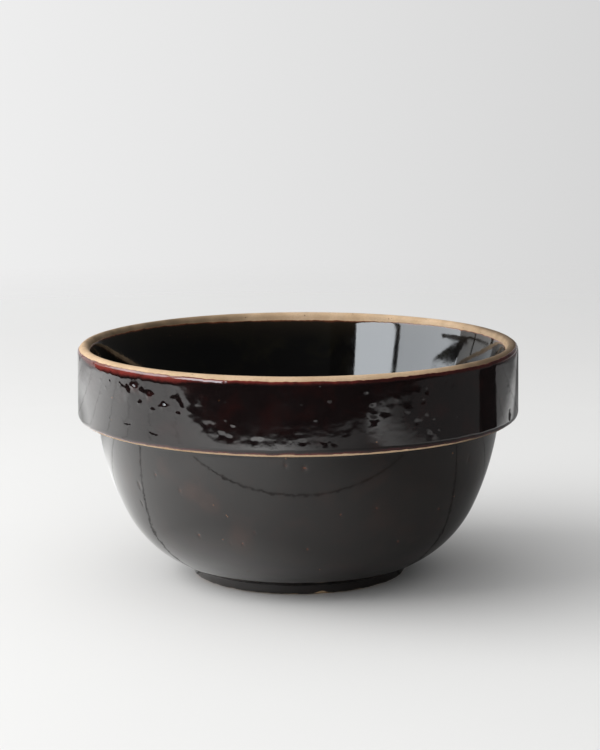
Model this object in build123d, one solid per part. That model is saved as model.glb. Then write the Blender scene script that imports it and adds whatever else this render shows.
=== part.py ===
from build123d import *
import math
import os

# A one-piece stoneware mixing bowl with a deep collar round its rim, glazed inside and out.
# The fired clay is one solid. Each coat of glaze is a thin solid of its own that lies on it.
# Units are millimetres. The origin is the centre of the foot's underside, and +Z is up.
# Outline points are (radius from the axis, height above the table), and leans are in degrees
# off vertical.

# Driving dimensions
OUTER_RADIUS = 101.6  # the glazed collar, the widest part: an 8 inch bowl
HEIGHT = 107.4  # table to the crest of the rim
GLAZE = 0.5  # thickness of each coat of glaze
COLLAR_DEPTH = 34.5  # crest of the rim to the collar's underside
COLLAR_OVERHANG = 9.1  # how far the collar stands out past the top of the belly

# Rim and collar
RIM_ROUND = 2.7  # the rim's crest is a half round of this radius
RIM_SETBACK = 0.3  # the collar's face leans out by this much on its way down
COLLAR_EDGE_ROUND = 3.3  # lower outside edge of the collar
COVE_ROUND = 1.8  # inside corner between the collar's underside and the belly

# Belly: two arcs that turn inwards on the way down
BELLY_LEAN = 6.9
UPPER_BELLY_RADIUS = 128.0
UPPER_BELLY_TURN = 17.8
LOWER_BELLY_RADIUS = 53.5
LOWER_BELLY_TURN = 47.0

# Foot ring, and the shallow hollow inside it
FOOT_RADIUS = 48.6
FOOT_WIDTH = 7.0
FOOT_TAPER = 0.8
FOOT_ROUND = 1.1
RECESS_DEPTH = 2.6

# Inside: a flat floor, one large round corner and a straight wall that leans out
FLOOR_HEIGHT = 8.2
INSIDE_CORNER_RADIUS = 46.5
WALL_LEAN = 15.0

# Where the glaze stops and bare clay shows
INSIDE_GLAZE_EDGE = HEIGHT - 5.0
COLLAR_GLAZE_TOP = HEIGHT - 3.2
COLLAR_GLAZE_END_ANGLE = 38.0  # how far the collar's glaze wraps round its lower edge
FOOT_GLAZE_EDGE = 1.4

# Places worked out from the dimensions
collar_radius = OUTER_RADIUS - GLAZE
ledge_height = HEIGHT - COLLAR_DEPTH
rim_centre = (collar_radius - RIM_SETBACK - RIM_ROUND, HEIGHT - RIM_ROUND)
edge_centre = (collar_radius - COLLAR_EDGE_ROUND, ledge_height + COLLAR_EDGE_ROUND)


def inside_line():
    """The glazed inside, from the floor's centre up to the edge of the glaze."""
    lean = math.radians(WALL_LEAN)
    wall_top = (
        rim_centre[0] - RIM_ROUND * math.cos(lean),
        rim_centre[1] + RIM_ROUND * math.sin(lean),
    )
    edge = (wall_top[0] - (wall_top[1] - INSIDE_GLAZE_EDGE) * math.tan(lean), INSIDE_GLAZE_EDGE)
    corner = (wall_top[0] - (wall_top[1] - FLOOR_HEIGHT) * math.tan(lean), FLOOR_HEIGHT)
    return FilletPolyline((0, FLOOR_HEIGHT), corner, edge, radius=INSIDE_CORNER_RADIUS)


def rim_lines(start):
    """The bare rim, from the inside glaze over the crest to the collar's glaze."""
    crest = CenterArc(rim_centre, RIM_ROUND, 180 - WALL_LEAN, WALL_LEAN - 180)
    drop = Line(crest @ 1, collar_point(COLLAR_GLAZE_TOP))
    return [Line(start, crest @ 0), crest, drop]


def collar_point(height):
    """The point on the clay of the collar's straight face at a height."""
    top = rim_centre[1]
    share = (top - height) / (top - edge_centre[1])
    return (collar_radius - RIM_SETBACK * (1 - share), height)


def collar_lines():
    """The glazed face of the collar and the glazed part of its lower edge."""
    face = Line(collar_point(COLLAR_GLAZE_TOP), collar_point(edge_centre[1]))
    edge = CenterArc(edge_centre, COLLAR_EDGE_ROUND, 0, -COLLAR_GLAZE_END_ANGLE)
    return [face, edge]


def bare_edge_line():
    """The rest of the collar's lower edge, where the clay shows as a thin line."""
    turn = COLLAR_GLAZE_END_ANGLE - 90
    return CenterArc(edge_centre, COLLAR_EDGE_ROUND, -COLLAR_GLAZE_END_ANGLE, turn)


def belly_lines():
    """The glazed underside of the collar, the belly and the side of the foot."""
    cove_start = collar_radius - COLLAR_OVERHANG + COVE_ROUND
    ledge = Line((edge_centre[0], ledge_height), (cove_start, ledge_height))
    cove = JernArc(ledge @ 1, ledge % 1, COVE_ROUND, 90 - BELLY_LEAN)
    upper = JernArc(cove @ 1, cove % 1, UPPER_BELLY_RADIUS, -UPPER_BELLY_TURN)
    lower = JernArc(upper @ 1, upper % 1, LOWER_BELLY_RADIUS, -LOWER_BELLY_TURN)
    foot_top = lower @ 1
    share = FOOT_GLAZE_EDGE / foot_top.Y
    foot_edge = (FOOT_RADIUS + (foot_top.X - FOOT_RADIUS) * share, FOOT_GLAZE_EDGE)
    return [ledge, cove, upper, lower, Line(foot_top, foot_edge)]


def foot_line(start):
    """The bare underside, from the side of the foot ring to the axis."""
    inner = FOOT_RADIUS - FOOT_WIDTH
    return FilletPolyline(
        start,
        (FOOT_RADIUS, 0),
        (inner, 0),
        (inner - FOOT_TAPER, RECESS_DEPTH),
        (0, RECESS_DEPTH),
        radius=FOOT_ROUND,
    )


def revolved(edges):
    """The solid of revolution of a closed outline."""
    return revolve(Plane.XZ * make_face(edges), Axis.Z)


def coat(lines, side):
    """A coat of glaze on one stretch of the clay's outline."""
    stretch = Wire([edge for line in lines for edge in line.edges()])
    return revolved(offset(stretch, GLAZE, side=side, closed=True).edges())


inside = inside_line()
collar = collar_lines()
belly = belly_lines()
foot = foot_line(belly[-1] @ 1)
outline = [inside, *rim_lines(inside @ 1), *collar, bare_edge_line(), *belly, foot]
outline.append(Line(foot @ 1, inside @ 0))

parts = {
    "stoneware_body": revolved([edge for line in outline for edge in line.edges()]),
    "inner_glaze": coat([inside], Side.LEFT),
    "collar_glaze": coat(collar, Side.LEFT),
    "belly_glaze": coat(belly, Side.LEFT),
}

os.makedirs("parts", exist_ok=True)
for name, solid in parts.items():
    export_step(solid, f"parts/{name}.step")
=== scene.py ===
"""A dark-glazed stoneware mixing bowl: clay, three coats of glaze, floor, lights and camera."""

import itertools
import math

import bpy
import numpy as np
from mathutils import Euler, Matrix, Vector

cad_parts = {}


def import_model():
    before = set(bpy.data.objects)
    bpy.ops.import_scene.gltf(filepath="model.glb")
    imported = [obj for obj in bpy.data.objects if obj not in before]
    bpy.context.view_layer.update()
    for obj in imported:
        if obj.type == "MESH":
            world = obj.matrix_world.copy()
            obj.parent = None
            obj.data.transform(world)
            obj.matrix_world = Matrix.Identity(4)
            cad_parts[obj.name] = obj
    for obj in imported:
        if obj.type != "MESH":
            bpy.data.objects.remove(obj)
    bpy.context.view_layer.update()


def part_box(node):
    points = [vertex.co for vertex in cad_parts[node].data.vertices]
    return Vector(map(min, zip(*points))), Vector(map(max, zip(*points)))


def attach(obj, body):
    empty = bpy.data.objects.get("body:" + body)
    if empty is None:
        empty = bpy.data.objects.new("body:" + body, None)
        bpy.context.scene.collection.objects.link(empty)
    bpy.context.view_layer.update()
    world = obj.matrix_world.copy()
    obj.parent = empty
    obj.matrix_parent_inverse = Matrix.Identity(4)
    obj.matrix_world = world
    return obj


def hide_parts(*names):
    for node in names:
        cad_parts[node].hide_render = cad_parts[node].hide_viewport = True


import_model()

# Outlines are worked out in millimetres and scaled to Blender's metres as meshes are made.
# A place on the bowl is an angle round the axis, in degrees from the front towards +X, and a
# height above the table.
MM = 0.001
SAMPLE = 0.05  # spacing of the points that stand for an outline


def box_mm(node):
    """A CAD node's lowest and highest corner, in millimetres."""
    low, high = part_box(node)
    return np.array(low) / MM, np.array(high) / MM


# Driving dimensions: the overall size comes from model.glb's stoneware_body, and the rest repeats
# the CAD's
HEIGHT = box_mm("stoneware_body")[1][2]
CLAY_RADIUS = box_mm("stoneware_body")[1][0]  # the collar's clay, without its glaze
COLLAR_DEPTH = 34.5  # crest of the rim to the collar's underside
LEDGE_HEIGHT = HEIGHT - COLLAR_DEPTH
COLLAR_OVERHANG = 9.1  # how far the collar stands out past the top of the belly
RIM_ROUND = 2.7  # the rim's crest is a half round of this radius
RIM_SETBACK = 0.3  # the collar's face leans out by this much on its way down
COLLAR_EDGE_ROUND = 3.3  # lower outside edge of the collar
COVE_ROUND = 1.8  # inside corner between the collar's underside and the belly
BELLY_LEAN = 6.9  # degrees off upright at the top of the belly
UPPER_BELLY = (128.0, 17.8)  # an arc's radius, and the degrees that it turns
LOWER_BELLY = (53.5, 47.0)
FOOT_RADIUS = 48.6
FOOT_WIDTH = 7.0
FOOT_TAPER = 0.8
FOOT_ROUND = 1.1
FOOT_RECESS = 2.6  # depth of the hollow under the foot
FLOOR_HEIGHT = 8.2  # of the inside floor above the table
INSIDE_CORNER = 46.5  # radius from the inside floor to the wall
WALL_LEAN = 15.0  # degrees off upright inside
INSIDE_GLAZE_EDGE = HEIGHT - 5.0
COLLAR_GLAZE_TOP = HEIGHT - 3.2
COLLAR_GLAZE_END = 38.0  # degrees that the collar's glaze wraps round its lower edge
COAT = 0.42  # usual depth of the glaze
BURIED = 0.06  # how far a coat's hidden face lies inside the clay

rim_centre = (CLAY_RADIUS - RIM_SETBACK - RIM_ROUND, HEIGHT - RIM_ROUND)
edge_centre = (CLAY_RADIUS - COLLAR_EDGE_ROUND, LEDGE_HEIGHT + COLLAR_EDGE_ROUND)


class Pen:
    """Draws an outline of (radius, height) points: straight runs, and arcs that turn the pen."""

    def __init__(self, start, heading):
        self.points = [np.array([start], float)]
        self.heading = heading

    @property
    def place(self):
        return self.points[-1][-1]

    def line_to(self, end):
        end = np.array(end, float)
        steps = max(2, round(math.dist(self.place, end) / SAMPLE))
        share = np.linspace(0, 1, steps + 1)[1:, None]
        across, up = end - self.place
        self.heading = math.degrees(math.atan2(up, across))
        self.points.append(self.place + share * (end - self.place))
        return self

    def arc(self, radius, turn):
        """Turns left by a positive number of degrees, or right by a negative one."""
        side = math.copysign(90, turn)
        centre = self.place - radius * direction(self.heading - side)
        steps = max(2, round(radius * math.radians(abs(turn)) / SAMPLE))
        angles = self.heading - side + turn * np.linspace(0, 1, steps + 1)[1:]
        self.points.append(centre + radius * direction(angles))
        self.heading += turn
        return self

    def length(self):
        """How long the outline is so far."""
        return self.outline().length

    def outline(self, ease=0):
        return Outline(np.concatenate(self.points), ease)


def direction(degrees):
    """A unit (radius, height) vector, in degrees up from straight outwards."""
    angle = np.radians(degrees)
    return np.stack([np.cos(angle), np.sin(angle)], axis=-1)


class Outline:
    """An outline that can be read at any distance along it, with normals that leave the clay."""

    def __init__(self, points, ease):
        gaps = np.linalg.norm(np.diff(points, axis=0), axis=1)
        self.along = np.concatenate([[0], np.cumsum(gaps)])
        self.length = self.along[-1]
        tangent = np.gradient(points, self.along, axis=0)
        normal = np.stack([-tangent[:, 1], tangent[:, 0]], axis=-1)
        if ease:
            normal = eased(normal, ease)
        self.points = points
        self.normal = normal / np.linalg.norm(normal, axis=1, keepdims=True)

    def at(self, along, lift):
        """Radius and height at distances along the outline, lifted off it by a depth."""
        radius = self.read(along, self.points, 0) + lift * self.read(along, self.normal, 0)
        height = self.read(along, self.points, 1) + lift * self.read(along, self.normal, 1)
        return radius, height

    def read(self, along, values, axis):
        return np.interp(along, self.along, values[:, axis])

    def where(self, height):
        """How far along the outline a height comes first."""
        above = self.points[:, 1] - height
        crossing = np.nonzero(np.diff(np.sign(above)))[0][0]
        return self.along[crossing]


def eased(values, reach):
    """Values averaged over a reach, in millimetres, either side of each sample."""
    count = 2 * round(reach / SAMPLE) + 1
    padded = np.pad(values, ((count // 2, count // 2), (0, 0)), mode="edge")
    kernel = np.hanning(count + 2)[1:-1]
    kernel /= kernel.sum()
    return np.stack([np.convolve(padded[:, k], kernel, "valid") for k in range(2)], axis=-1)


# Smooth noise rises and falls along fixed random directions on a lattice turned off the axes
LATTICE = np.random.default_rng(11).normal(size=(32, 32, 32, 3))
LATTICE /= np.linalg.norm(LATTICE, axis=-1, keepdims=True)
LATTICE_TURN = np.array(Euler((0.6, 0.4, 0.8)).to_matrix())
NOISE_GAIN = 1.4  # brings its usual swing close to -1 to 1


def noise(spots, size, offset=0.0):
    """Smooth noise from -1 to 1 at spots in millimetres, with lumps of about a size."""
    scaled = spots @ LATTICE_TURN / size + offset
    low = np.floor(scaled).astype(int)
    part = scaled - low
    fade = part**3 * (part * (part * 6 - 15) + 10)
    total = np.zeros(spots.shape[:-1])
    for corner in itertools.product((0, 1), repeat=3):
        share = np.prod(np.where(corner, fade, 1 - fade), axis=-1)
        cell = (low + corner) % len(LATTICE)
        slope = LATTICE[cell[..., 0], cell[..., 1], cell[..., 2]]
        total += share * np.sum(slope * (part - corner), axis=-1)
    return NOISE_GAIN * total


def spots_of(angle, radius, height):
    """Points in space, in millimetres, from angles in radians, radii and heights."""
    places = np.broadcast_arrays(radius * np.sin(angle), -radius * np.cos(angle), height)
    return np.stack(places, axis=-1)


def smooth_step(values, low, high):
    """From 0 at a low value to 1 at a high one, flat at both ends."""
    share = np.clip((values - low) / (high - low), 0, 1)
    return share * share * (3 - 2 * share)


def unevenness(spots):
    """How far the hand-made clay lies off its true surface, in millimetres: always inside it."""
    return 0.08 * noise(spots, 46.0, 3.3) + 0.015 * noise(spots, 17.0, 7.7) - 0.13


def mesh_of_rings(name, rings, poles, stored, values):
    """A closed mesh from rings of points: a torus of rings, or a row of them between two poles.

    The name and the values of what is stored at the points come last."""
    count, columns = rings.shape[:2]
    corners = np.arange(count * columns).reshape(count, columns)
    if not poles:
        corners = np.vstack([corners, corners[:1]])
    ahead = np.roll(corners, -1, axis=1)
    faces = np.stack([corners[:-1], corners[1:], ahead[1:], ahead[:-1]], axis=-1).reshape(-1, 4)
    points = rings.reshape(-1, 3)
    loops = faces.ravel()
    sizes = np.full(len(faces), 4)
    if poles:
        ends = np.array([rings[0].mean(axis=0), rings[-1].mean(axis=0)])
        first = len(points)
        points = np.vstack([points, ends])
        start_cap = np.stack([np.full(columns, first), corners[0], ahead[0]], axis=-1)
        end_cap = np.stack([corners[-1], np.full(columns, first + 1), ahead[-1]], axis=-1)
        loops = np.concatenate([loops, start_cap.ravel(), end_cap.ravel()])
        sizes = np.concatenate([sizes, np.full(2 * columns, 3)])
    mesh = bpy.data.meshes.new(name)
    mesh.vertices.add(len(points))
    mesh.vertices.foreach_set("co", (points * MM).ravel())
    mesh.loops.add(len(loops))
    mesh.loops.foreach_set("vertex_index", loops)
    mesh.polygons.add(len(sizes))
    mesh.polygons.foreach_set("loop_start", np.concatenate([[0], np.cumsum(sizes)[:-1]]))
    mesh.polygons.foreach_set("use_smooth", np.ones(len(sizes), bool))
    mesh.update(calc_edges=True)
    values = np.concatenate([values.ravel(), np.zeros(len(points) - values.size)])
    mesh.attributes.new(stored, "FLOAT", "POINT").data.foreach_set("value", values)
    piece = bpy.data.objects.new(name, mesh)
    bpy.context.scene.collection.objects.link(piece)
    return piece


def angles_round(columns):
    """Equal angles once round the bowl, in radians."""
    return np.arange(columns) * math.tau / columns


def degrees_of(angle):
    """Angles in radians as degrees from -180 to 180."""
    return np.degrees((angle + math.pi) % math.tau - math.pi)


def edge_noise(angle, radius, height, coarse, fine, offset):
    """A ragged line round the bowl, in millimetres either side of where it should be."""
    spots = spots_of(angle, radius, np.full_like(angle, height))
    line = coarse * noise(spots, 9.0, offset) + fine * noise(spots, 2.6, offset + 5)
    return line + 0.5 * fine * noise(spots, 1.1, offset + 9)


# Rows of a coat close to each of its two edges, in millimetres in from the edge
EDGE_ROWS = np.array([0, 0.1, 0.25, 0.5, 0.85])
EDGE_BAND = 1.25  # from here in, the rows share out what is left evenly
# Rows of its hidden face near each edge, and how many more share out the middle
HIDDEN_LEAD = np.array([0, 1.2, 2.2, 3.2, 4.2, 5.4, 7.0])
HIDDEN_MIDDLE = 5
HIDDEN_MIDDLE_INSIDE = 26  # the inside is concave, so its hidden face needs more


def coat(name, path, start, end, rows, columns, depth_at, hidden_rows=HIDDEN_MIDDLE):
    """A closed thin shell of glaze on an outline, between two ragged edges.

    depth_at(angle, along, spots, from_start, from_end) gives the depth of the glaze, and the
    depth that its colour shows."""
    angle = angles_round(columns)[None, :]
    start = np.broadcast_to(start, angle.shape)
    end = np.broadcast_to(end, angle.shape)
    share = np.linspace(0, 1, rows)[:, None]
    middle = start + EDGE_BAND + share * (end - start - 2 * EDGE_BAND)
    lead = EDGE_ROWS[:, None]
    along = np.concatenate([start + lead, middle, end - lead[::-1]])
    radius, height = path.at(along, 0)
    spots = spots_of(angle, radius, height)
    depth, shown = depth_at(angle, along, spots, along - start, end - along)
    depth[0] = -BURIED / 2
    depth[-1] = -BURIED / 2
    clay = unevenness(spots)
    outer = spots_of(angle, *path.at(along, clay + depth))
    lead = HIDDEN_LEAD[:, None]
    share = np.linspace(0, 1, hidden_rows + 2)[1:-1, None]
    reach = HIDDEN_LEAD[-1]
    between = end - reach + share * (start - end + 2 * reach)
    hidden = np.concatenate([end - lead, between, start + lead[::-1]])
    hidden_spots = spots_of(angle, *path.at(hidden, 0))
    inner = spots_of(angle, *path.at(hidden, unevenness(hidden_spots) - BURIED))
    rings = np.concatenate([outer, inner])
    shown = np.concatenate([shown, np.zeros(hidden.shape)])
    return mesh_of_rings(name, rings, False, "glaze_depth", shown)


def round_edge(distance, width):
    """From 0 at a coat's edge to 1, round like a drop, over a width."""
    return np.sqrt(1 - (1 - np.clip(distance / width, 0, 1)) ** 2)


def inside_pen():
    """The inside, from the floor's centre up the wall."""
    wall = direction(90 - WALL_LEAN)
    top = np.array(rim_centre) + RIM_ROUND * direction(180 - WALL_LEAN)
    corner = top[0] - (top[1] - FLOOR_HEIGHT) * wall[0] / wall[1]
    flat = corner - INSIDE_CORNER * math.tan(math.radians(90 - WALL_LEAN) / 2)
    pen = Pen((0, FLOOR_HEIGHT), 0).line_to((flat, FLOOR_HEIGHT))
    pen.arc(INSIDE_CORNER, 90 - WALL_LEAN)
    return pen.line_to(top)


def belly_pen(pen):
    """The collar's underside, the belly and the side of the foot."""
    pen.line_to((CLAY_RADIUS - COLLAR_OVERHANG + COVE_ROUND, LEDGE_HEIGHT))
    pen.arc(COVE_ROUND, 90 - BELLY_LEAN)
    pen.arc(UPPER_BELLY[0], -UPPER_BELLY[1])
    pen.arc(LOWER_BELLY[0], -LOWER_BELLY[1])
    return pen


def collar_pen(pen):
    """The collar's face and the whole of its lower edge."""
    pen.line_to((CLAY_RADIUS, edge_centre[1]))
    pen.heading = -90
    return pen.arc(COLLAR_EDGE_ROUND, -90)


def foot_pen(pen):
    """The foot's side, its underside with worn edges, and the hollow inside it."""
    inner = FOOT_RADIUS - FOOT_WIDTH
    pen.line_to((FOOT_RADIUS + FOOT_ROUND * 0.3, FOOT_ROUND))
    pen.line_to((FOOT_RADIUS - FOOT_ROUND * 0.3, 0.3 * FOOT_ROUND))
    pen.line_to((FOOT_RADIUS - FOOT_ROUND, 0))
    pen.line_to((inner + FOOT_ROUND, 0))
    pen.line_to((inner - 0.3, FOOT_ROUND))
    pen.line_to((inner - FOOT_TAPER, FOOT_RECESS - 0.6))
    pen.line_to((inner - FOOT_TAPER - 1.0, FOOT_RECESS))
    return pen.line_to((POLE_RADIUS, FOOT_RECESS))


# ---------------------------------------------------------------- clay
CLAY_COLUMNS = 800
POLE_RADIUS = 2.0  # the ring that the clay's caps close, on the inside floor and underneath

# Small knocks in the rim: angle, height, radius and depth
RIM_DENTS = [(97, 105.4, 1.6, 0.5), (91, 104.6, 1.1, 0.35), (-20, 106.6, 0.9, 0.15)]


def clay_body():
    """The fired clay: rim, collar's bare edge and foot show, and the rest lies under glaze."""
    pen = inside_pen()
    wall_end = pen.length()
    collar_pen(pen.arc(RIM_ROUND, WALL_LEAN - 180))
    collar_end = pen.length()
    belly_pen(pen)
    belly_end = pen.length()
    path = foot_pen(pen).outline()
    cove_end = collar_end + COLLAR_OVERHANG - COLLAR_EDGE_ROUND + COVE_ROUND + 1
    # Rows of points, closer where the clay shows: from, to, and how many
    stops = [
        (POLE_RADIUS, wall_end - 9, 30),
        (wall_end - 9, wall_end + 12, 26),
        (wall_end + 12, collar_end - 6, 3),
        (collar_end - 6, collar_end + 1, 14),
        (collar_end + 1, cove_end, 9),
        (cove_end, belly_end - 3, 7),
        (belly_end - 3, belly_end + 13, 22),
        (belly_end + 13, path.length, 6),
    ]
    along = np.concatenate([np.linspace(a, b, n, endpoint=False) for a, b, n in stops])
    along = np.append(along, path.length)[:, None]
    angle = angles_round(CLAY_COLUMNS)[None, :]
    radius, height = path.at(along, 0)
    spots = spots_of(angle, radius, height)
    grain = 0.02 * noise(spots, 1.6, 2.2) + 0.02 * noise(spots, 4.0, 8.1) - 0.04
    knocks = dents(angle, spots, RIM_DENTS)
    rings = spots_of(angle, *path.at(along, unevenness(spots) + grain - knocks))
    return mesh_of_rings("clay_body", rings, True, "toast_and_shade", toast_and_shade_at(angle, spots))


def toast_and_shade_at(angle, spots):
    """How brown the bare rim is painted, from 0 to 1: toast from the kiln and thin smears of
    glaze, and painted shade on the sides that face away from the window.
    """
    degrees = degrees_of(angle)
    radius = np.hypot(spots[..., 0], spots[..., 1])
    inward = smooth_step(rim_centre[0] + 1.6 - radius, 0, 2.6)
    outward = smooth_step(radius - rim_centre[0], -2.8, -0.5)
    left_back = smooth_step(-degrees, 74, 100) * (1 - smooth_step(-degrees, 140, 176))
    right = smooth_step(degrees, 28, 62) * (1 - smooth_step(degrees, 108, 134))
    back = smooth_step(np.abs(degrees), 120, 160)
    # Painted shade on top of the toast: the inner side at the back left and the outer side at the
    # right face away from the window, so they are painted browner
    brown_and_shade = left_back * (0.25 + 0.60 * inward) + right * (0.40 + 0.75 * outward) + 0.05 * back
    return np.clip(brown_and_shade + 0.25 * noise(spots, 5.0, 3.0) * (brown_and_shade > 0), 0, 1)


def dent(angle, spots, at, height, size, deep):
    """A smooth round dip of a size and depth at one place."""
    centre_angle = math.radians(at)
    turn = (angle - centre_angle + math.pi) % math.tau - math.pi
    across = turn * np.hypot(spots[..., 0], spots[..., 1])
    away = np.hypot(across, spots[..., 2] - height) / size
    near = away < 2.6
    lumpy = np.ones_like(away)
    lumpy[near] += 0.5 * noise(spots[near], 0.7 * size + 0.5, 0.1 * at)
    return deep * np.exp(-((away * lumpy) ** 2) * 1.6)


def dents(angle, spots, places):
    """The dips of a list of places, added up."""
    return sum(dent(angle, spots, *place) for place in places)


# ---------------------------------------------------------------- collar
COLLAR_COLUMNS = 1080
COLLAR_ROWS = 62
CREST_START = 62.0  # degrees round the crest, from level, where the collar's outline starts
SHOULDER = (2.2, 4.2)  # how deep the thin band is under its top edge: usually, and at its deepest
HEM = 2.4  # height of the thin band over its lower edge
GLAZE_HIGHER = 1.25  # how far above the CAD's edge it starts, before the ragged part
LUMP_STRETCH = (1, 1, 2.1)  # the lumps are wider than they are tall

# Bumps in the glaze: angle, height, radius and how proud they stand
BLISTERS = [
    (-44.0, 98.4, 1.7, 0.42),
    (-41.2, 97.2, 1.5, 0.20),
    (-38.8, 95.8, 1.8, 0.34),
    (-45.6, 95.2, 4.6, 0.20),
    (-39.4, 93.6, 3.6, 0.13),
    (-49.2, 96.8, 2.4, 0.10),
    (-34.4, 91.9, 1.7, 0.42),
    (-32.2, 90.6, 2.8, 0.12),
    (-42.0, 92.2, 1.1, 0.24),
    (-37.8, 90.0, 1.2, 0.20),
    (-30.2, 89.6, 1.0, 0.16),
    (-30.6, 94.6, 3.0, 0.12),
    (-56.0, 95.7, 0.9, 0.08),
    (-58.5, 98.5, 0.8, 0.07),
    (-54.0, 98.8, 0.9, 0.08),
    (-23.4, 99.8, 2.4, 0.035),
    (-20.4, 97.4, 1.8, 0.03),
    (-17.4, 96.8, 0.9, 0.04),
    (-13.6, 96.4, 0.7, 0.03),
    (-3.0, 96.4, 0.7, 0.04),
    (0.7, 96.4, 0.7, 0.05),
    (7.5, 97.8, 0.9, 0.12),
    (4.2, 89.6, 0.8, 0.06),
    (-17.4, 89.2, 1.0, 0.03),
    (-15.6, 87.0, 1.1, 0.05),
    (-20.6, 88.2, 2.0, 0.03),
    (-9.0, 82.4, 1.4, 0.04),
    (16.2, 100.8, 1.6, 0.05),
    (18.0, 95.6, 1.4, 0.05),
    (18.4, 90.2, 1.2, 0.05),
    (24.4, 96.6, 1.6, 0.05),
    (27.4, 91.4, 1.8, 0.04),
    (30.5, 98.2, 2.0, 0.06),
    (31.5, 88.0, 2.2, 0.05),
    (36.0, 93.4, 1.8, 0.05),
    (41.0, 98.0, 2.0, 0.06),
    (44.0, 88.0, 2.2, 0.05),
    (35.0, 80.0, 2.4, 0.06),
    (5.2, 104.4, 0.9, 0.16),
    (9.2, 104.6, 0.9, 0.16),
    (11.2, 104.6, 0.8, 0.15),
]

# Where the glaze ran thin enough to show red: angle, height, radius and by how much
RED_PATCHES = [
    (-44.5, 98.0, 4.6, 0.04),
    (-38.6, 96.0, 3.6, 0.04),
    (-33.0, 92.6, 2.6, 0.03),
    (-30.6, 96.4, 2.8, 0.05),
    (-24.0, 98.0, 5.0, 0.03),
]

# One knock that stays matt: angle, height, radius and the strength of its mark
SCAR = (68.8, 78.6, 2.6, 2.2)

# Soft hollows in the glaze: angle, height, radius and depth
HOLLOWS = [
    (-47.7, 82.5, 1.2, 0.08),
    (-46.6, 82.8, 1.4, 0.11),
    (-45.5, 83.1, 1.2, 0.08),
    (-38.9, 80.9, 1.2, 0.08),
    (-37.8, 80.6, 1.4, 0.11),
    (-36.6, 80.5, 1.3, 0.10),
    (-35.6, 80.3, 1.0, 0.07),
    (-24.5, 92.6, 3.0, 0.05),
    (-22.5, 86.0, 1.7, 0.035),
    (-18.4, 82.0, 1.5, 0.042),
    (-16.6, 81.0, 1.2, 0.045),
    (-10.5, 80.2, 1.5, 0.035),
    (1.0, 79.8, 1.1, 0.05),
    (6.4, 79.6, 1.2, 0.05),
    (8.4, 79.2, 1.2, 0.05),
    (12.0, 85.0, 2.0, 0.03),
    (18.0, 88.6, 2.2, 0.05),
    (21.0, 91.4, 2.2, 0.05),
    (68.8, 79.5, 1.9, 0.36),
    (68.6, 77.2, 1.6, 0.30),
    (32.6, 98.6, 1.6, 0.12),
    (31.6, 94.4, 1.3, 0.08),
    (41.0, 101.0, 2.2, 0.16),
    (38.4, 101.8, 1.5, 0.12),
    (41.8, 96.4, 0.9, 0.08),
    (32.6, 87.4, 1.7, 0.11),
    (34.8, 85.4, 1.2, 0.08),
    (29.6, 85.6, 1.3, 0.08),
    (33.4, 79.8, 1.5, 0.12),
    (36.2, 80.6, 1.0, 0.08),
    (42.2, 85.0, 0.8, 0.07),
    (-76.0, 103.9, 1.3, 0.45),
]


def collar_coat():
    """The glaze on the collar's face, with its runs, blisters and pinholes."""
    start = np.array(rim_centre) + RIM_ROUND * direction(CREST_START)
    pen = Pen(start, CREST_START - 90).arc(RIM_ROUND, -CREST_START)
    path = collar_pen(pen).outline(ease=0.6)
    angle = angles_round(COLLAR_COLUMNS)
    degrees = degrees_of(angle)
    ragged = edge_noise(angle, 101, 104, coarse=0.28, fine=0.24, offset=1.7)
    top = path.where(COLLAR_GLAZE_TOP) - GLAZE_HIGHER - ragged
    # The glaze starts highest and is thinnest at the right, and shows red at the left
    wash = smooth_step(degrees, 52, 80) * (1 - smooth_step(degrees, 104, 125))
    sides = smooth_step(np.abs(degrees), 14, 32) * (1 - smooth_step(np.abs(degrees), 76, 100))
    top = np.maximum(top - 1.1 * wash - 0.5 * sides, 0.05)
    browner = smooth_step(degrees, 0, 18)
    thinnest = 0.14 - 0.09 * wash
    fading = smooth_step(-degrees, 16, 34) * (1 - smooth_step(-degrees, 62, 78))
    shoulder_deep = SHOULDER[0] + (SHOULDER[1] - SHOULDER[0]) * np.maximum(fading, wash)
    shoulder_deep += fading * edge_noise(angle, 101, 101, coarse=0.6, fine=0.5, offset=5.5)
    lower = path.length - math.radians(90 - COLLAR_GLAZE_END) * COLLAR_EDGE_ROUND
    lower += edge_noise(angle, 101, 74, coarse=0.34, fine=0.26, offset=4.2)

    def depth_at(angle, along, spots, from_start, from_end):
        # Thin under its top edge and over its lower edge, and lumpy low down
        shoulder = 1 - (1 - np.clip(from_start / shoulder_deep, 0, 1)) ** 1.6
        body = thinnest + (COAT - thinnest) * shoulder
        hem = (1 - np.clip(from_end / HEM, 0, 1)) ** 2
        body *= 1 - 0.66 * hem
        body += 0.012 * noise(spots, 19.0, 1.1)
        lumps = spots * LUMP_STRETCH
        swell = 0.006 * noise(lumps, 11.0, 6.1) + 0.008 * noise(lumps, 5.6, 2.9)
        body += (swell + 0.006 * noise(lumps, 3.2, 5.9)) * smooth_step(spots[..., 2], 75, 82)
        ends = round_edge(from_start, 0.5 + 0.5 * fading) * round_edge(from_end, 0.8)
        # The colour shows it thinner where it is red, and never quite worn away at its edges
        red = dents(angle, spots, RED_PATCHES)
        red += 0.13 * fading * smooth_step(1 - from_start / shoulder_deep, 0.1, 0.6)
        shown = np.maximum((body - red) * ends, 0.12 * ends)
        shown = np.maximum(shown, 0.34 * browner * round_edge(from_start, 0.3))
        shown = np.maximum(shown, 0.28 * hem * round_edge(from_end, 0.25))
        shown = np.maximum(shown, dent(angle, spots, *SCAR))
        bumps = dents(angle, spots, BLISTERS) - dents(angle, spots, HOLLOWS)
        # The CAD's box leaves the least room at the front, the back and the two sides
        ceiling = 0.60 + 0.4 * np.abs(np.sin(2 * angle))
        return np.clip((body + bumps) * ends, 0.03 * ends, ceiling), shown

    return coat("collar_glaze_coat", path, top, lower, COLLAR_ROWS, COLLAR_COLUMNS, depth_at)


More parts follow.
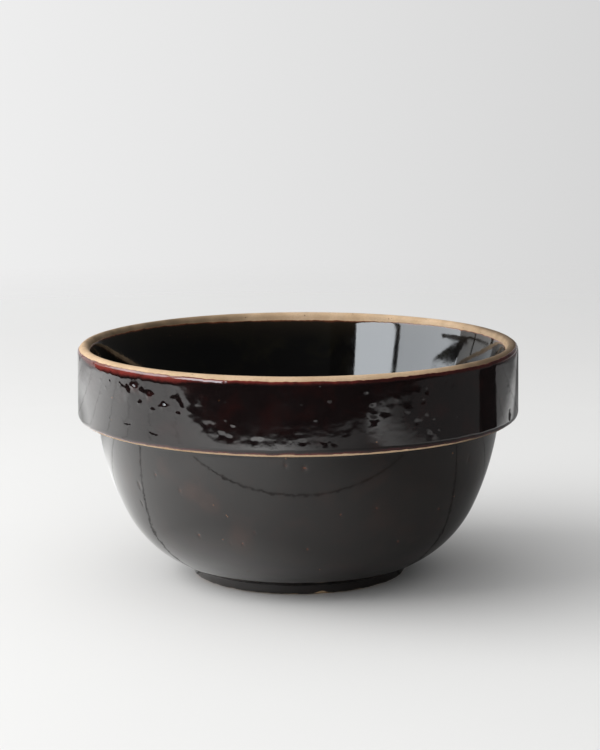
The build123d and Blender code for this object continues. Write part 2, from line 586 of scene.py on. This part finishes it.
# ---------------------------------------------------------------- inside
INSIDE_COLUMNS = 780
INSIDE_ROWS = 72
INSIDE_START = 0.03  # the coat starts this close to the middle of the floor


def inside_coat():
    """The glaze that lines the inside, up to a line just under the rim."""
    path = inside_pen().outline()
    angle = angles_round(INSIDE_COLUMNS)
    degrees = degrees_of(angle)
    rise = 1.4 + 0.9 * smooth_step(180 - np.abs(degrees), 12, 48)
    rise += 0.6 * np.clip(-np.sin(angle), 0, 1)
    ragged = edge_noise(angle, 95, 102, coarse=0.25, fine=0.2, offset=6.6)
    top = path.where(INSIDE_GLAZE_EDGE) + ragged
    top = np.minimum(top + rise, path.length - 0.1)
    right = smooth_step(degrees, 40, 62) * (1 - smooth_step(degrees, 100, 122))

    def depth_at(angle, along, spots, from_start, from_end):
        body = COAT + 0.03 * noise(spots, 26.0, 4.4) + 0.010 * noise(spots, 9.0, 5.2)
        # Thinner towards the rim, with a slight swell below the rim at the right
        body -= 0.28 * (1 - np.clip(from_end / 16.0, 0, 1)) ** 2
        swell = smooth_step(from_end, 0, 22) - smooth_step(from_end, 24, 60)
        body += 0.5 * right * swell
        thin = (1 - np.clip(from_end / 2.0, 0, 1)) ** 2
        body *= (1 - 0.5 * thin) * round_edge(from_end, 0.5)
        return body, body

    rows, columns, hidden = INSIDE_ROWS, INSIDE_COLUMNS, HIDDEN_MIDDLE_INSIDE
    return coat("inner_glaze_coat", path, INSIDE_START, top, rows, columns, depth_at, hidden)


# ---------------------------------------------------------------- belly
BELLY_COLUMNS = 900
BELLY_ROWS = 80

# Where the glaze has worn or fired through to the clay: angle, height and radius
BELLY_SPECKS = [
    (1.6, 66.9, 1.1),
    (-3.3, 68.4, 0.8),
    (-35.4, 53.7, 0.6),
    (-43.7, 58.9, 0.6),
    (-32.4, 32.4, 0.7),
    (-17.6, 30.7, 0.6),
    (2.8, 28.8, 0.7),
    (22.9, 46.9, 0.8),
    (12.1, 44.8, 0.6),
    (33.3, 28.7, 0.6),
    (46.5, 41.5, 0.6),
    (55.5, 61.9, 0.6),
    (-13.2, 36.4, 0.6),
    (-21.7, 30.2, 0.5),
    (-54.2, 42.7, 0.6),
    (-52.5, 51.7, 0.9),
    (118.0, 38.0, 0.8),
    (164.0, 55.0, 0.7),
    (-140.0, 44.0, 0.8),
]

# Where the belly's glaze shows warmer: angle, height, radius and by how much
BELLY_WARM = [
    (-31.0, 54.0, 7.0, 0.16),
    (-25.0, 49.0, 6.0, 0.12),
    (-18.0, 33.0, 8.0, 0.16),
    (-40.0, 62.0, 5.0, 0.10),
]


def belly_coat():
    """The glaze from under the collar down over the belly to the side of the foot."""
    pen = Pen((edge_centre[0], LEDGE_HEIGHT), 180)
    belly_pen(pen)
    foot_top = pen.place
    pen.line_to((FOOT_RADIUS, 0.2))
    path = pen.outline(ease=1.6)
    angle = angles_round(BELLY_COLUMNS)
    degrees = degrees_of(angle)
    top = 0.6 + edge_noise(angle, 97, 72, coarse=0.3, fine=0.15, offset=2.4)
    ragged = np.abs(edge_noise(angle, 49, 1, coarse=0.5, fine=0.2, offset=8.8))
    lower = path.length - 0.25 - ragged
    # A chip out of the foot's edge, a little to the right of the front
    lower -= 0.9 * np.exp(-(((degrees - 12) / 3) ** 2))

    def depth_at(angle, along, spots, from_start, from_end):
        body = COAT + 0.02 * noise(spots, 31.0, 0.7) + 0.004 * noise(spots, 10.0, 3.1)
        # Uneven where it pooled round the top of the foot, and thicker down the foot's side
        pool = smooth_step(spots[..., 2], foot_top[1] + 5, foot_top[1] - 2)
        body += pool * 0.12 * noise(spots, 5.0, 9.2)
        body += 0.42 * (1 - np.clip(spots[..., 2] / foot_top[1], 0, 1))
        for at, height, size in BELLY_SPECKS:
            body -= dent(angle, spots, at, height, size, 0.5)
        body = np.maximum(body, 0.015)
        body *= round_edge(from_start, 0.6) * round_edge(from_end, 0.9)
        warm = dents(angle, spots, BELLY_WARM)
        return body, body * (1 - warm / COAT)

    return coat("belly_glaze_coat", path, top, lower, BELLY_ROWS, BELLY_COLUMNS, depth_at)


# ---------------------------------------------------------------- materials
class Nodes:
    """Short calls for building one material."""

    def __init__(self, name):
        self.material = bpy.data.materials.new(name)
        self.material.use_nodes = True
        self.tree = self.material.node_tree
        self.shader = self.tree.nodes["Principled BSDF"]
        self.place = self.add("ShaderNodeTexCoord").outputs["Object"]

    def add(self, kind, **settings):
        """A new node, with its settings."""
        node = self.tree.nodes.new(kind)
        for key, value in settings.items():
            setattr(node, key, value)
        return node

    def put(self, socket, value):
        """Links an output to a socket, or sets the socket to a plain value."""
        if isinstance(value, bpy.types.NodeSocket):
            self.tree.links.new(value, socket)
        else:
            socket.default_value = value

    def noise(self, size, detail=2.0, rough=0.5, warp=0.0):
        """Noise with lumps of about a size in metres."""
        node = self.add("ShaderNodeTexNoise")
        self.put(node.inputs["Vector"], self.place)
        self.put(node.inputs["Scale"], 1 / size)
        self.put(node.inputs["Detail"], detail)
        self.put(node.inputs["Roughness"], rough)
        self.put(node.inputs["Distortion"], warp)
        return node.outputs["Fac"]

    def cells(self, size):
        """Scattered cells of about a size in metres."""
        node = self.add("ShaderNodeTexVoronoi", feature="F1")
        self.put(node.inputs["Vector"], self.place)
        self.put(node.inputs["Scale"], 1 / size)
        return node

    def math(self, operation, first, second=0.0):
        node = self.add("ShaderNodeMath", operation=operation)
        self.put(node.inputs[0], first)
        self.put(node.inputs[1], second)
        return node.outputs[0]

    def fit(self, value, low, high, to_low=0.0, to_high=1.0):
        """A value moved from one range to another, held at its ends."""
        node = self.add("ShaderNodeMapRange")
        for socket, number in zip(node.inputs, (value, low, high, to_low, to_high)):
            self.put(socket, number)
        return node.outputs[0]

    def mix(self, share, first, second, blend="MIX"):
        node = self.add("ShaderNodeMix", data_type="RGBA", blend_type=blend)
        self.put(node.inputs["Factor"], share)
        self.put(node.inputs[6], first)
        self.put(node.inputs[7], second)
        return node.outputs[2]

    def ramp(self, value, *stops):
        """A value as a colour, by stops of a place from 0 to 1 and a colour."""
        node = self.add("ShaderNodeValToRGB")
        self.put(node.inputs["Fac"], value)
        points = node.color_ramp.elements
        while len(points) < len(stops):
            points.new(0.5)
        for point, (place, colour) in zip(points, stops):
            point.position = place
            point.color = (*colour, 1)
        return node.outputs["Color"]

    def bump(self, height, distance, strength=1.0, under=None):
        node = self.add("ShaderNodeBump")
        self.put(node.inputs["Height"], height)
        self.put(node.inputs["Distance"], distance)
        self.put(node.inputs["Strength"], strength)
        if under:
            self.put(node.inputs["Normal"], under)
        return node.outputs["Normal"]

    def stored(self, name):
        """A value stored at the mesh's points."""
        return self.add("ShaderNodeAttribute", attribute_name=name).outputs["Fac"]

    def finish(self, **sockets):
        """Fills the shader's sockets, whose names have _ in place of spaces."""
        for name, value in sockets.items():
            self.put(self.shader.inputs[name.replace("_", " ")], value)
        return self.material


CLAY_PALE = (0.645, 0.47, 0.305, 1)
CLAY_WARM = (0.515, 0.355, 0.21, 1)
CLAY_GRAIN = (0.36, 0.23, 0.13, 1)
CLAY_GRIT = (0.12, 0.06, 0.03, 1)
# The toast's colour, which also paints shade on the rim
CLAY_TOAST_AND_SHADE = (0.17, 0.115, 0.066, 1)


def clay_material():
    """Warm buff stoneware, sanded by use, with fine grit, and a toasted flush that also holds
    painted shade.
    """
    m = Nodes("bare_clay")
    flush = m.fit(m.noise(0.018, 3.0), 0.35, 0.7)
    colour = m.mix(flush, CLAY_PALE, CLAY_WARM)
    grain = m.fit(m.noise(0.0011, 3.0, 0.7), 0.3, 0.7)
    colour = m.mix(m.math("MULTIPLY", grain, 0.35), colour, CLAY_GRAIN)
    grit = m.cells(0.0022)
    dark_grit = m.fit(grit.outputs["Distance"], 0.10, 0.16, 1.0, 0.0)
    rare = m.fit(m.noise(0.004, 1.0), 0.55, 0.6)
    colour = m.mix(m.math("MULTIPLY", dark_grit, rare), colour, CLAY_GRIT)
    # The rim's toast, with painted shade where its sides face away from the window
    colour = m.mix(m.stored("toast_and_shade"), colour, CLAY_TOAST_AND_SHADE)
    rough = m.fit(m.noise(0.006, 2.0), 0.3, 0.7, 0.62, 0.85)
    coarse = m.bump(m.noise(0.0016, 3.0, 0.6), 0.00010)
    fine = m.bump(m.noise(0.0005, 2.0), 0.00004, under=coarse)
    m.put(m.shader.inputs["IOR"], 1.5)
    m.put(m.shader.inputs["Specular IOR Level"], 0.35)
    return m.finish(Base_Color=colour, Roughness=rough, Normal=fine)


GLAZE_WORN = (0.30, 0.15, 0.07)
GLAZE_RUST = (0.15, 0.045, 0.022)
GLAZE_SPECK = (0.16, 0.075, 0.035, 1)
DEPTH_DRIFT = 0.10  # how far the depth that shows wanders from the glaze's own
MATT_DEPTH = (1.0, 1.4)  # a mark stored deeper than this turns matt
MATT_ROUGH = 0.5


def glaze_material(name, deep, mottle, thin, ripple):
    """Iron glaze: nearly black where deep, its own colour where thin, rust and buff where worn."""
    m = Nodes(name)
    drift = m.math("MULTIPLY_ADD", m.noise(0.010, 3.0), DEPTH_DRIFT)
    drift.node.inputs[2].default_value = -0.5 * DEPTH_DRIFT
    depth = m.math("ADD", m.stored("glaze_depth"), drift)
    colour = m.ramp(
        m.math("MULTIPLY", depth, 2.0),
        (0.02, GLAZE_WORN),
        (0.12, GLAZE_RUST),
        (0.30, thin),
        (0.78, deep),
    )
    patches = m.fit(m.noise(0.012, 4.0, 0.6, 0.6), 0.5, 0.72)
    colour = m.mix(m.math("MULTIPLY", patches, 0.6), colour, (*mottle, 1))
    specks = m.cells(0.0055)
    small = m.fit(specks.outputs["Distance"], 0.055, 0.075, 1.0, 0.0)
    chosen = m.fit(m.noise(0.009, 0.0), 0.60, 0.62)
    colour = m.mix(m.math("MULTIPLY", small, chosen), colour, GLAZE_SPECK)
    rough = m.fit(m.noise(0.008, 3.0), 0.3, 0.75, 0.035, 0.085)
    matt = m.fit(m.stored("glaze_depth"), *MATT_DEPTH, 0.0, MATT_ROUGH)
    rough = m.math("ADD", rough, matt)
    peel = m.bump(m.noise(0.0035, 2.0), 0.00002, ripple)
    m.put(m.shader.inputs["IOR"], 1.8)
    return m.finish(Base_Color=colour, Roughness=rough, Normal=peel)


# ---------------------------------------------------------------- stage, light, camera
FLOOR_REACH = 1.6
FLOOR_COLOUR = (0.795, 0.795, 0.79, 1)
FLOOR_FADE = (0.45, 1.25)  # the floor fades into the background between these distances


def floor_material():
    """Plain white, seamless: it clears with distance, so that no horizon shows."""
    m = Nodes("plain_floor")
    tone = m.fit(m.noise(0.25, 3.0), 0.3, 0.7, 0.985, 1.0)
    shade = m.mix(1.0, FLOOR_COLOUR, tone, "MULTIPLY")
    m.finish(Base_Color=shade, Roughness=0.9)
    m.put(m.shader.inputs["Specular IOR Level"], 0.0)
    far = m.add("ShaderNodeVectorMath", operation="LENGTH")
    m.put(far.inputs[0], m.place)
    clear = m.fit(far.outputs["Value"], *FLOOR_FADE)
    blend = m.add("ShaderNodeMixShader")
    m.put(blend.inputs[0], clear)
    m.put(blend.inputs[1], m.shader.outputs[0])
    m.put(blend.inputs[2], m.add("ShaderNodeBsdfTransparent").outputs[0])
    m.put(m.tree.nodes["Material Output"].inputs["Surface"], blend.outputs[0])
    return m.material


def sheet(name, corners, material):
    """A flat staged sheet from its corners in metres."""
    mesh = bpy.data.meshes.new(name)
    mesh.from_pydata(corners, [], [tuple(range(len(corners)))])
    mesh.materials.append(material)
    item = bpy.data.objects.new(name, mesh)
    bpy.context.scene.collection.objects.link(item)
    return item


def glow_material(name, colour, strength):
    """A plain glow, whatever light falls on it."""
    m = Nodes(name)
    glow = m.add("ShaderNodeEmission")
    m.put(glow.inputs["Color"], (*colour, 1))
    m.put(glow.inputs["Strength"], strength)
    m.put(m.tree.nodes["Material Output"].inputs["Surface"], glow.outputs[0])
    return m.material


def seen_in_gloss_only(item):
    """Hides a card from everything but reflections."""
    item.visible_camera = False
    item.visible_diffuse = False
    item.visible_shadow = False
    item.visible_transmission = False


# Outlines, in metres, of the dark and dim room that gloss sees beyond the floor
BEYOND_FRONT = [(-3, -3), (3, -3), (3, -0.40), (0.56, -0.40), (0.48, -0.475), (0.40, -0.505)]
BEYOND_FRONT += [(0.30, -0.525), (0.15, -0.55), (0, -0.565), (-0.14, -0.52), (-0.26, -0.46)]
BEYOND_FRONT += [(-0.38, -0.41), (-0.48, -0.388), (-0.60, -0.415), (-3, -0.5)]
BEYOND_LEFT = [(-3, -0.5), (-0.82, -0.42), (-0.82, 0.5), (-3, 2.6)]
BEYOND_RIGHT = [(0.45, -0.40), (3, -0.40), (3, 1.2), (0.45, 0.105)]
GAP_AT_RIGHT = [(0.40, 0.034), (1.6, 0.363), (1.6, 0.904), (0.40, 0.16)]
DARK_ROOM = 0.020  # how bright those parts of the room look
DIM_ROOM = 0.115
TINT_HEIGHT = 0.0003  # of the floor's tint above the floor
LIFT = 0.0002  # cards that lie on the floor clear each other by this much
WINDOW_AWAY = 1.1
WINDOW_WALL = (-3, 0.46, 2.0)  # the dark wall behind the panes: near side, far side and top


def lying_card(name, outline, material, layer):
    """A card just over the floor, in a layer of its own."""
    height = TINT_HEIGHT + layer * LIFT
    seen_in_gloss_only(sheet(name, [(x, y, height) for x, y in outline], material))


def stage():
    """The floor, the cards that stand for the room in the glaze, and the painted light and shade
    of the floor that the glaze shows.
    """
    reach = FLOOR_REACH
    square = [(-reach, -reach), (reach, -reach), (reach, reach), (-reach, reach)]
    sheet("floor", [(x, y, 0) for x, y in square], floor_material())
    dark = glow_material("dark_room", (1, 0.95, 0.95), DARK_ROOM)
    dim = glow_material("dim_room", (1, 1, 1), DIM_ROOM)
    lying_card("card_front", BEYOND_FRONT, dark, 1)
    lying_card("card_right", BEYOND_RIGHT, dim, 2)
    lying_card("card_gap", GAP_AT_RIGHT, dark, 3)
    lying_card("card_left", BEYOND_LEFT, dark, 4)
    # Painted light and shade of the floor, seen only in the glaze
    lying_card("floor_light_and_shade", square, floor_light_and_shade_material(), 0)
    x = -(WINDOW_AWAY + 0.01)
    near, far, top = WINDOW_WALL
    wall = [(x, near, 0), (x, far, 0), (x, far, top), (x, near, top)]
    seen_in_gloss_only(sheet("card_window_wall", wall, dark))


# Painted light and shade on the floor that gloss sees: lighter towards the window, darker in the
# bowl's shadow at the right. Tones at distances in metres to the right and to the back: the two
# multiply each other and the gain
FLOOR_GAIN = 4
TONES_ACROSS = [(-0.55, 0.52), (-0.35, 0.56), (-0.16, 0.64), (-0.115, 0.57), (-0.04, 0.45)]
TONES_ACROSS += [(0, 0.32), (0.08, 0.17), (0.15, 0.11), (0.30, 0.10), (0.342, 0.42)]
TONES_ACROSS += [(0.38, 0.38), (0.45, 0.165)]
TONES_DEEP = [(-0.5, 1.0), (-0.42, 0.58), (-0.33, 0.45), (-0.2, 0.40), (-0.1, 0.425)]
TONES_DEEP += [(-0.03, 0.48), (0.055, 0.60), (0.10, 0.63), (0.27, 0.85), (0.42, 0.74), (0.5, 0.42)]
# Round spots of painted light and shade on the floor that gloss sees, a lighter pool by the lit
# side of the foot and a darker spot further back: place, inner and outer radius, gain
FLOOR_LIGHT_AND_SHADE_SPOTS = [((-0.03, -0.04, 0), 0.015, 0.06, 1.6), ((-0.20, 0.34, 0), 0.10, 0.19, 0.4)]
BOARD = 0.1365  # from one floor seam to the next
SEAM_FROM = -0.0137
SEAM_WIDTH = 0.0026
SEAM_WANDER = 0.007
SEAM_TONE = 0.35


def floor_light_and_shade_material():
    """Paints light and shade on the floor that shows in the glaze, and draws the seams between its
    boards.
    """
    m = Nodes("floor_light_and_shade")
    split = m.add("ShaderNodeSeparateXYZ")
    m.put(split.inputs[0], m.place)
    bright = (FLOOR_GAIN, FLOOR_GAIN, FLOOR_GAIN, 1)
    for axis, tones in (("X", TONES_ACROSS), ("Y", TONES_DEEP)):
        first, last = tones[0][0], tones[-1][0]
        at = m.fit(split.outputs[axis], first, last)
        stops = [((place - first) / (last - first), (tone, tone, tone)) for place, tone in tones]
        bright = m.mix(1.0, m.ramp(at, *stops), bright, "MULTIPLY")
    for spot, inner, outer, gain in FLOOR_LIGHT_AND_SHADE_SPOTS:
        away = m.add("ShaderNodeVectorMath", operation="DISTANCE")
        m.put(away.inputs[0], m.place)
        m.put(away.inputs[1], spot)
        local = m.fit(away.outputs["Value"], inner, outer, gain, 1.0)
        bright = m.mix(1.0, bright, local, "MULTIPLY")
    ragged = m.fit(m.noise(0.008, 4.0, 0.75), 0.3, 0.7)
    wander = m.math("MULTIPLY", ragged, SEAM_WANDER)
    along = m.math("ADD", split.outputs["Y"], wander)
    boards = m.math("DIVIDE", m.math("SUBTRACT", along, SEAM_FROM + 0.5 * SEAM_WANDER), BOARD)
    off_seam = m.math("ABSOLUTE", m.math("SUBTRACT", boards, m.math("ROUND", boards)))
    seam = m.fit(off_seam, 0.3 * SEAM_WIDTH / BOARD, SEAM_WIDTH / BOARD, SEAM_TONE, 1.0)
    bright = m.mix(1.0, bright, seam, "MULTIPLY")
    clear = m.add("ShaderNodeBsdfTransparent")
    m.put(clear.inputs["Color"], bright)
    m.put(m.tree.nodes["Material Output"].inputs["Surface"], clear.outputs[0])
    return m.material


# Each pane: its near and far side as shares of the distance away, and how bright it looks
WINDOW_PANES = [(-1.32, -0.50, 5.5), (-0.425, 0.44, 3.7)]
# Outlines of what stands in front of it, as shares of the same distance: along the wall and up
LEAF = [(0.06, 0.318), (0.145, 0.322), (0.25, 0.324), (0.356, 0.321), (0.47, 0.311), (0.56, 0.302)]
LEAF += [(0.50, 0.290), (0.455, 0.278), (0.41, 0.264), (0.284, 0.282), (0.183, 0.301)]
BRANCH = [(0.13, 0.384), (0.25, 0.37), (0.39, 0.348), (0.47, 0.338), (0.78, 0.302), (1.30, 0.24)]
BRANCH += [(1.30, 0.23), (0.78, 0.286), (0.56, 0.308), (0.62, 0.285), (0.55, 0.29), (0.43, 0.315)]
BRANCH += [(0.32, 0.335), (0.16, 0.365)]
POSTS = [(0.72, 0.76), (1.42, 1.56)]  # near and far side of each, as shares too
POST_TOP = 0.6
WINDOW_SILL = 0.19
WINDOW_TOP = 0.95
DAYLIGHT = (0.90, 0.95, 1.0)


def window_card(name, x, outline, material):
    """A card that stands to the left, from an outline given as shares of the window's distance."""
    corners = [(x, y * WINDOW_AWAY, z * WINDOW_AWAY) for y, z in outline]
    seen_in_gloss_only(sheet(name, corners, material))


def upright(near, far, low, high):
    """The outline of an upright rectangle."""
    return [(near, low), (far, low), (far, high), (near, high)]


def window():
    """Panes of daylight at the left for gloss to show, and what stands before them."""
    for number, (near, far, radiance) in enumerate(WINDOW_PANES):
        glow = glow_material(f"daylight_{number}", DAYLIGHT, radiance)
        pane = upright(near, far, WINDOW_SILL, WINDOW_TOP)
        window_card(f"pane_{number}", -WINDOW_AWAY, pane, glow)
    dark = glow_material("dark_outdoors", (1, 0.97, 0.97), 0.05)
    posts = [upright(near, far, 0, POST_TOP) for near, far in POSTS]
    for number, outline in enumerate([LEAF, BRANCH, *posts]):
        window_card(f"before_window_{number}", 0.01 - WINDOW_AWAY, outline, dark)


KEY_POWER = 12.5
KEY_SIZE = (1.3, 0.9)
KEY_PLACE = (-1.08, -0.24, 0.72)
KEY_AIM = (-0.3, -0.2, 0)
KEY_COLOUR = (1.0, 0.995, 0.985)


def key_light():
    """The soft light that the window stands for; gloss shows the panes and not this light."""
    data = bpy.data.lights.new("key", "AREA")
    data.shape = "RECTANGLE"
    data.size, data.size_y = KEY_SIZE
    data.energy = KEY_POWER
    data.color = KEY_COLOUR
    lamp = bpy.data.objects.new("key", data)
    lamp.location = KEY_PLACE
    aim = Vector(KEY_AIM) - lamp.location
    lamp.rotation_euler = aim.to_track_quat("-Z", "Y").to_euler()
    lamp.visible_camera = False
    lamp.visible_glossy = False
    bpy.context.scene.collection.objects.link(lamp)


# The fill light, from straight away from the window to straight towards it
FILL_TOWARDS = (-0.86, -0.14, 0.49)
FILL_TONES = [(0.0, 0.18), (0.5, 0.42), (1.0, 1.36)]
BACKGROUND_LIGHT_FALLOFF = [(0.0, 0.87), (1.0, 0.66)]  # painted light on the background: lighter at its left side, towards the window, than at its right side
TONE_SPREAD = 0.16
# What gloss sees of the room over and under the horizon, from near right to far left
ROOM_TOWARDS = (-0.707, 0.707, 0)
ROOM_ABOVE = [(0.0, 0.03), (0.58, 0.05), (0.87, 0.50), (0.97, 0.85)]
ROOM_BELOW = [(0.0, 0.05), (0.40, 0.12), (0.55, 0.45), (0.95, 0.75)]
HORIZON_SPREAD = 0.03


def world():
    """A pale room: a fill brightest from the window's side, a background painted lighter towards
    the window, and a soft gradient to reflect.
    """
    world = bpy.data.worlds.new("pale_room")
    bpy.context.scene.world = world
    world.use_nodes = True
    tree = world.node_tree
    tree.nodes.clear()
    new = tree.nodes.new
    join = tree.links.new
    way = new("ShaderNodeTexCoord").outputs["Generated"]

    def ramp_along(axis, stops, span):
        """A tone that changes with how far a ray points along an axis, from -span to span."""
        dot = new("ShaderNodeVectorMath")
        dot.operation = "DOT_PRODUCT"
        join(way, dot.inputs[0])
        dot.inputs[1].default_value = axis
        fit = new("ShaderNodeMapRange")
        fit.inputs["From Min"].default_value = -span
        fit.inputs["From Max"].default_value = span
        join(dot.outputs["Value"], fit.inputs["Value"])
        ramp = new("ShaderNodeValToRGB")
        join(fit.outputs[0], ramp.inputs["Fac"])
        points = ramp.color_ramp.elements
        while len(points) < len(stops):
            points.new(0.5)
        for point, (place, tone) in zip(points, stops):
            point.position = place
            point.color = (tone, tone, tone, 1)
        return ramp.outputs["Color"]

    # Painted light on the background that the camera sees: lighter at the left, towards the window
    seen = ramp_along((1, 0, 0), BACKGROUND_LIGHT_FALLOFF, TONE_SPREAD)
    above = ramp_along(ROOM_TOWARDS, ROOM_ABOVE, 1.0)
    below = ramp_along(ROOM_TOWARDS, ROOM_BELOW, 1.0)
    fill = ramp_along(FILL_TOWARDS, FILL_TONES, 1.0)
    level = ramp_along((0, 0, 1), [(0.0, 0.0), (1.0, 1.0)], HORIZON_SPREAD)
    blend = new("ShaderNodeMix")
    blend.data_type = "RGBA"
    join(level, blend.inputs["Factor"])
    join(below, blend.inputs[6])
    join(above, blend.inputs[7])
    glossy = blend.outputs[2]
    path = new("ShaderNodeLightPath")
    lights = []
    for colour in (fill, seen, glossy):
        light = new("ShaderNodeBackground")
        join(colour, light.inputs["Color"])
        lights.append(light.outputs[0])
    result = lights[0]
    for ray, light in (("Is Camera Ray", lights[1]), ("Is Glossy Ray", lights[2])):
        mix = new("ShaderNodeMixShader")
        join(path.outputs[ray], mix.inputs[0])
        join(result, mix.inputs[1])
        join(light, mix.inputs[2])
        result = mix.outputs[0]
    join(result, new("ShaderNodeOutputWorld").inputs["Surface"])


CAMERA_PLACE = (0.00091, -1.0019, 0.2591)
CAMERA_PITCH = 9.496  # degrees down
CAMERA_ROLL = -0.0052  # radians
CAMERA_LENS = 105.6
SENSOR_WIDTH = 36


def camera():
    """Looks slightly down on the bowl from the front."""
    data = bpy.data.cameras.new("camera")
    data.lens = CAMERA_LENS
    data.sensor_width = SENSOR_WIDTH
    data.clip_start = 0.01
    item = bpy.data.objects.new("camera", data)
    item.location = CAMERA_PLACE
    look = Euler((math.radians(90 - CAMERA_PITCH), 0, 0)).to_matrix()
    item.rotation_euler = (look @ Euler((0, 0, CAMERA_ROLL)).to_matrix()).to_euler()
    bpy.context.scene.collection.objects.link(item)
    bpy.context.scene.camera = item


# ---------------------------------------------------------------- putting it together
def place_piece(piece, node, material):
    """Gives a piece its material, hangs it under the root body, and hides the CAD part that it
    replaces.
    """
    piece.data.materials.append(material)
    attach(piece, "root")
    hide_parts(node)


# Each glaze's deep, mottled and thin colour
COLLAR_COLOURS = ((0.0055, 0.0030, 0.0030), (0.016, 0.004, 0.0035), (0.19, 0.030, 0.024))
BELLY_COLOURS = ((0.0085, 0.0060, 0.0050), (0.024, 0.011, 0.008), (0.05, 0.02, 0.012))
INSIDE_COLOURS = ((0.0010, 0.0009, 0.0008), (0.008, 0.007, 0.003), (0.014, 0.010, 0.006))
# Each coat: what makes it, its name, its colours and how much its surface ripples
GLAZES = [
    (collar_coat, "collar_glaze", COLLAR_COLOURS, 0.6),
    (belly_coat, "belly_glaze", BELLY_COLOURS, 0.45),
    (inside_coat, "inner_glaze", INSIDE_COLOURS, 0.4),
]

place_piece(clay_body(), "stoneware_body", clay_material())
for make_coat, name, colours, ripple in GLAZES:
    place_piece(make_coat(), name, glaze_material(name, *colours, ripple))

stage()
window()
key_light()
world()
camera()
bpy.context.scene.view_settings.view_transform = "Standard"
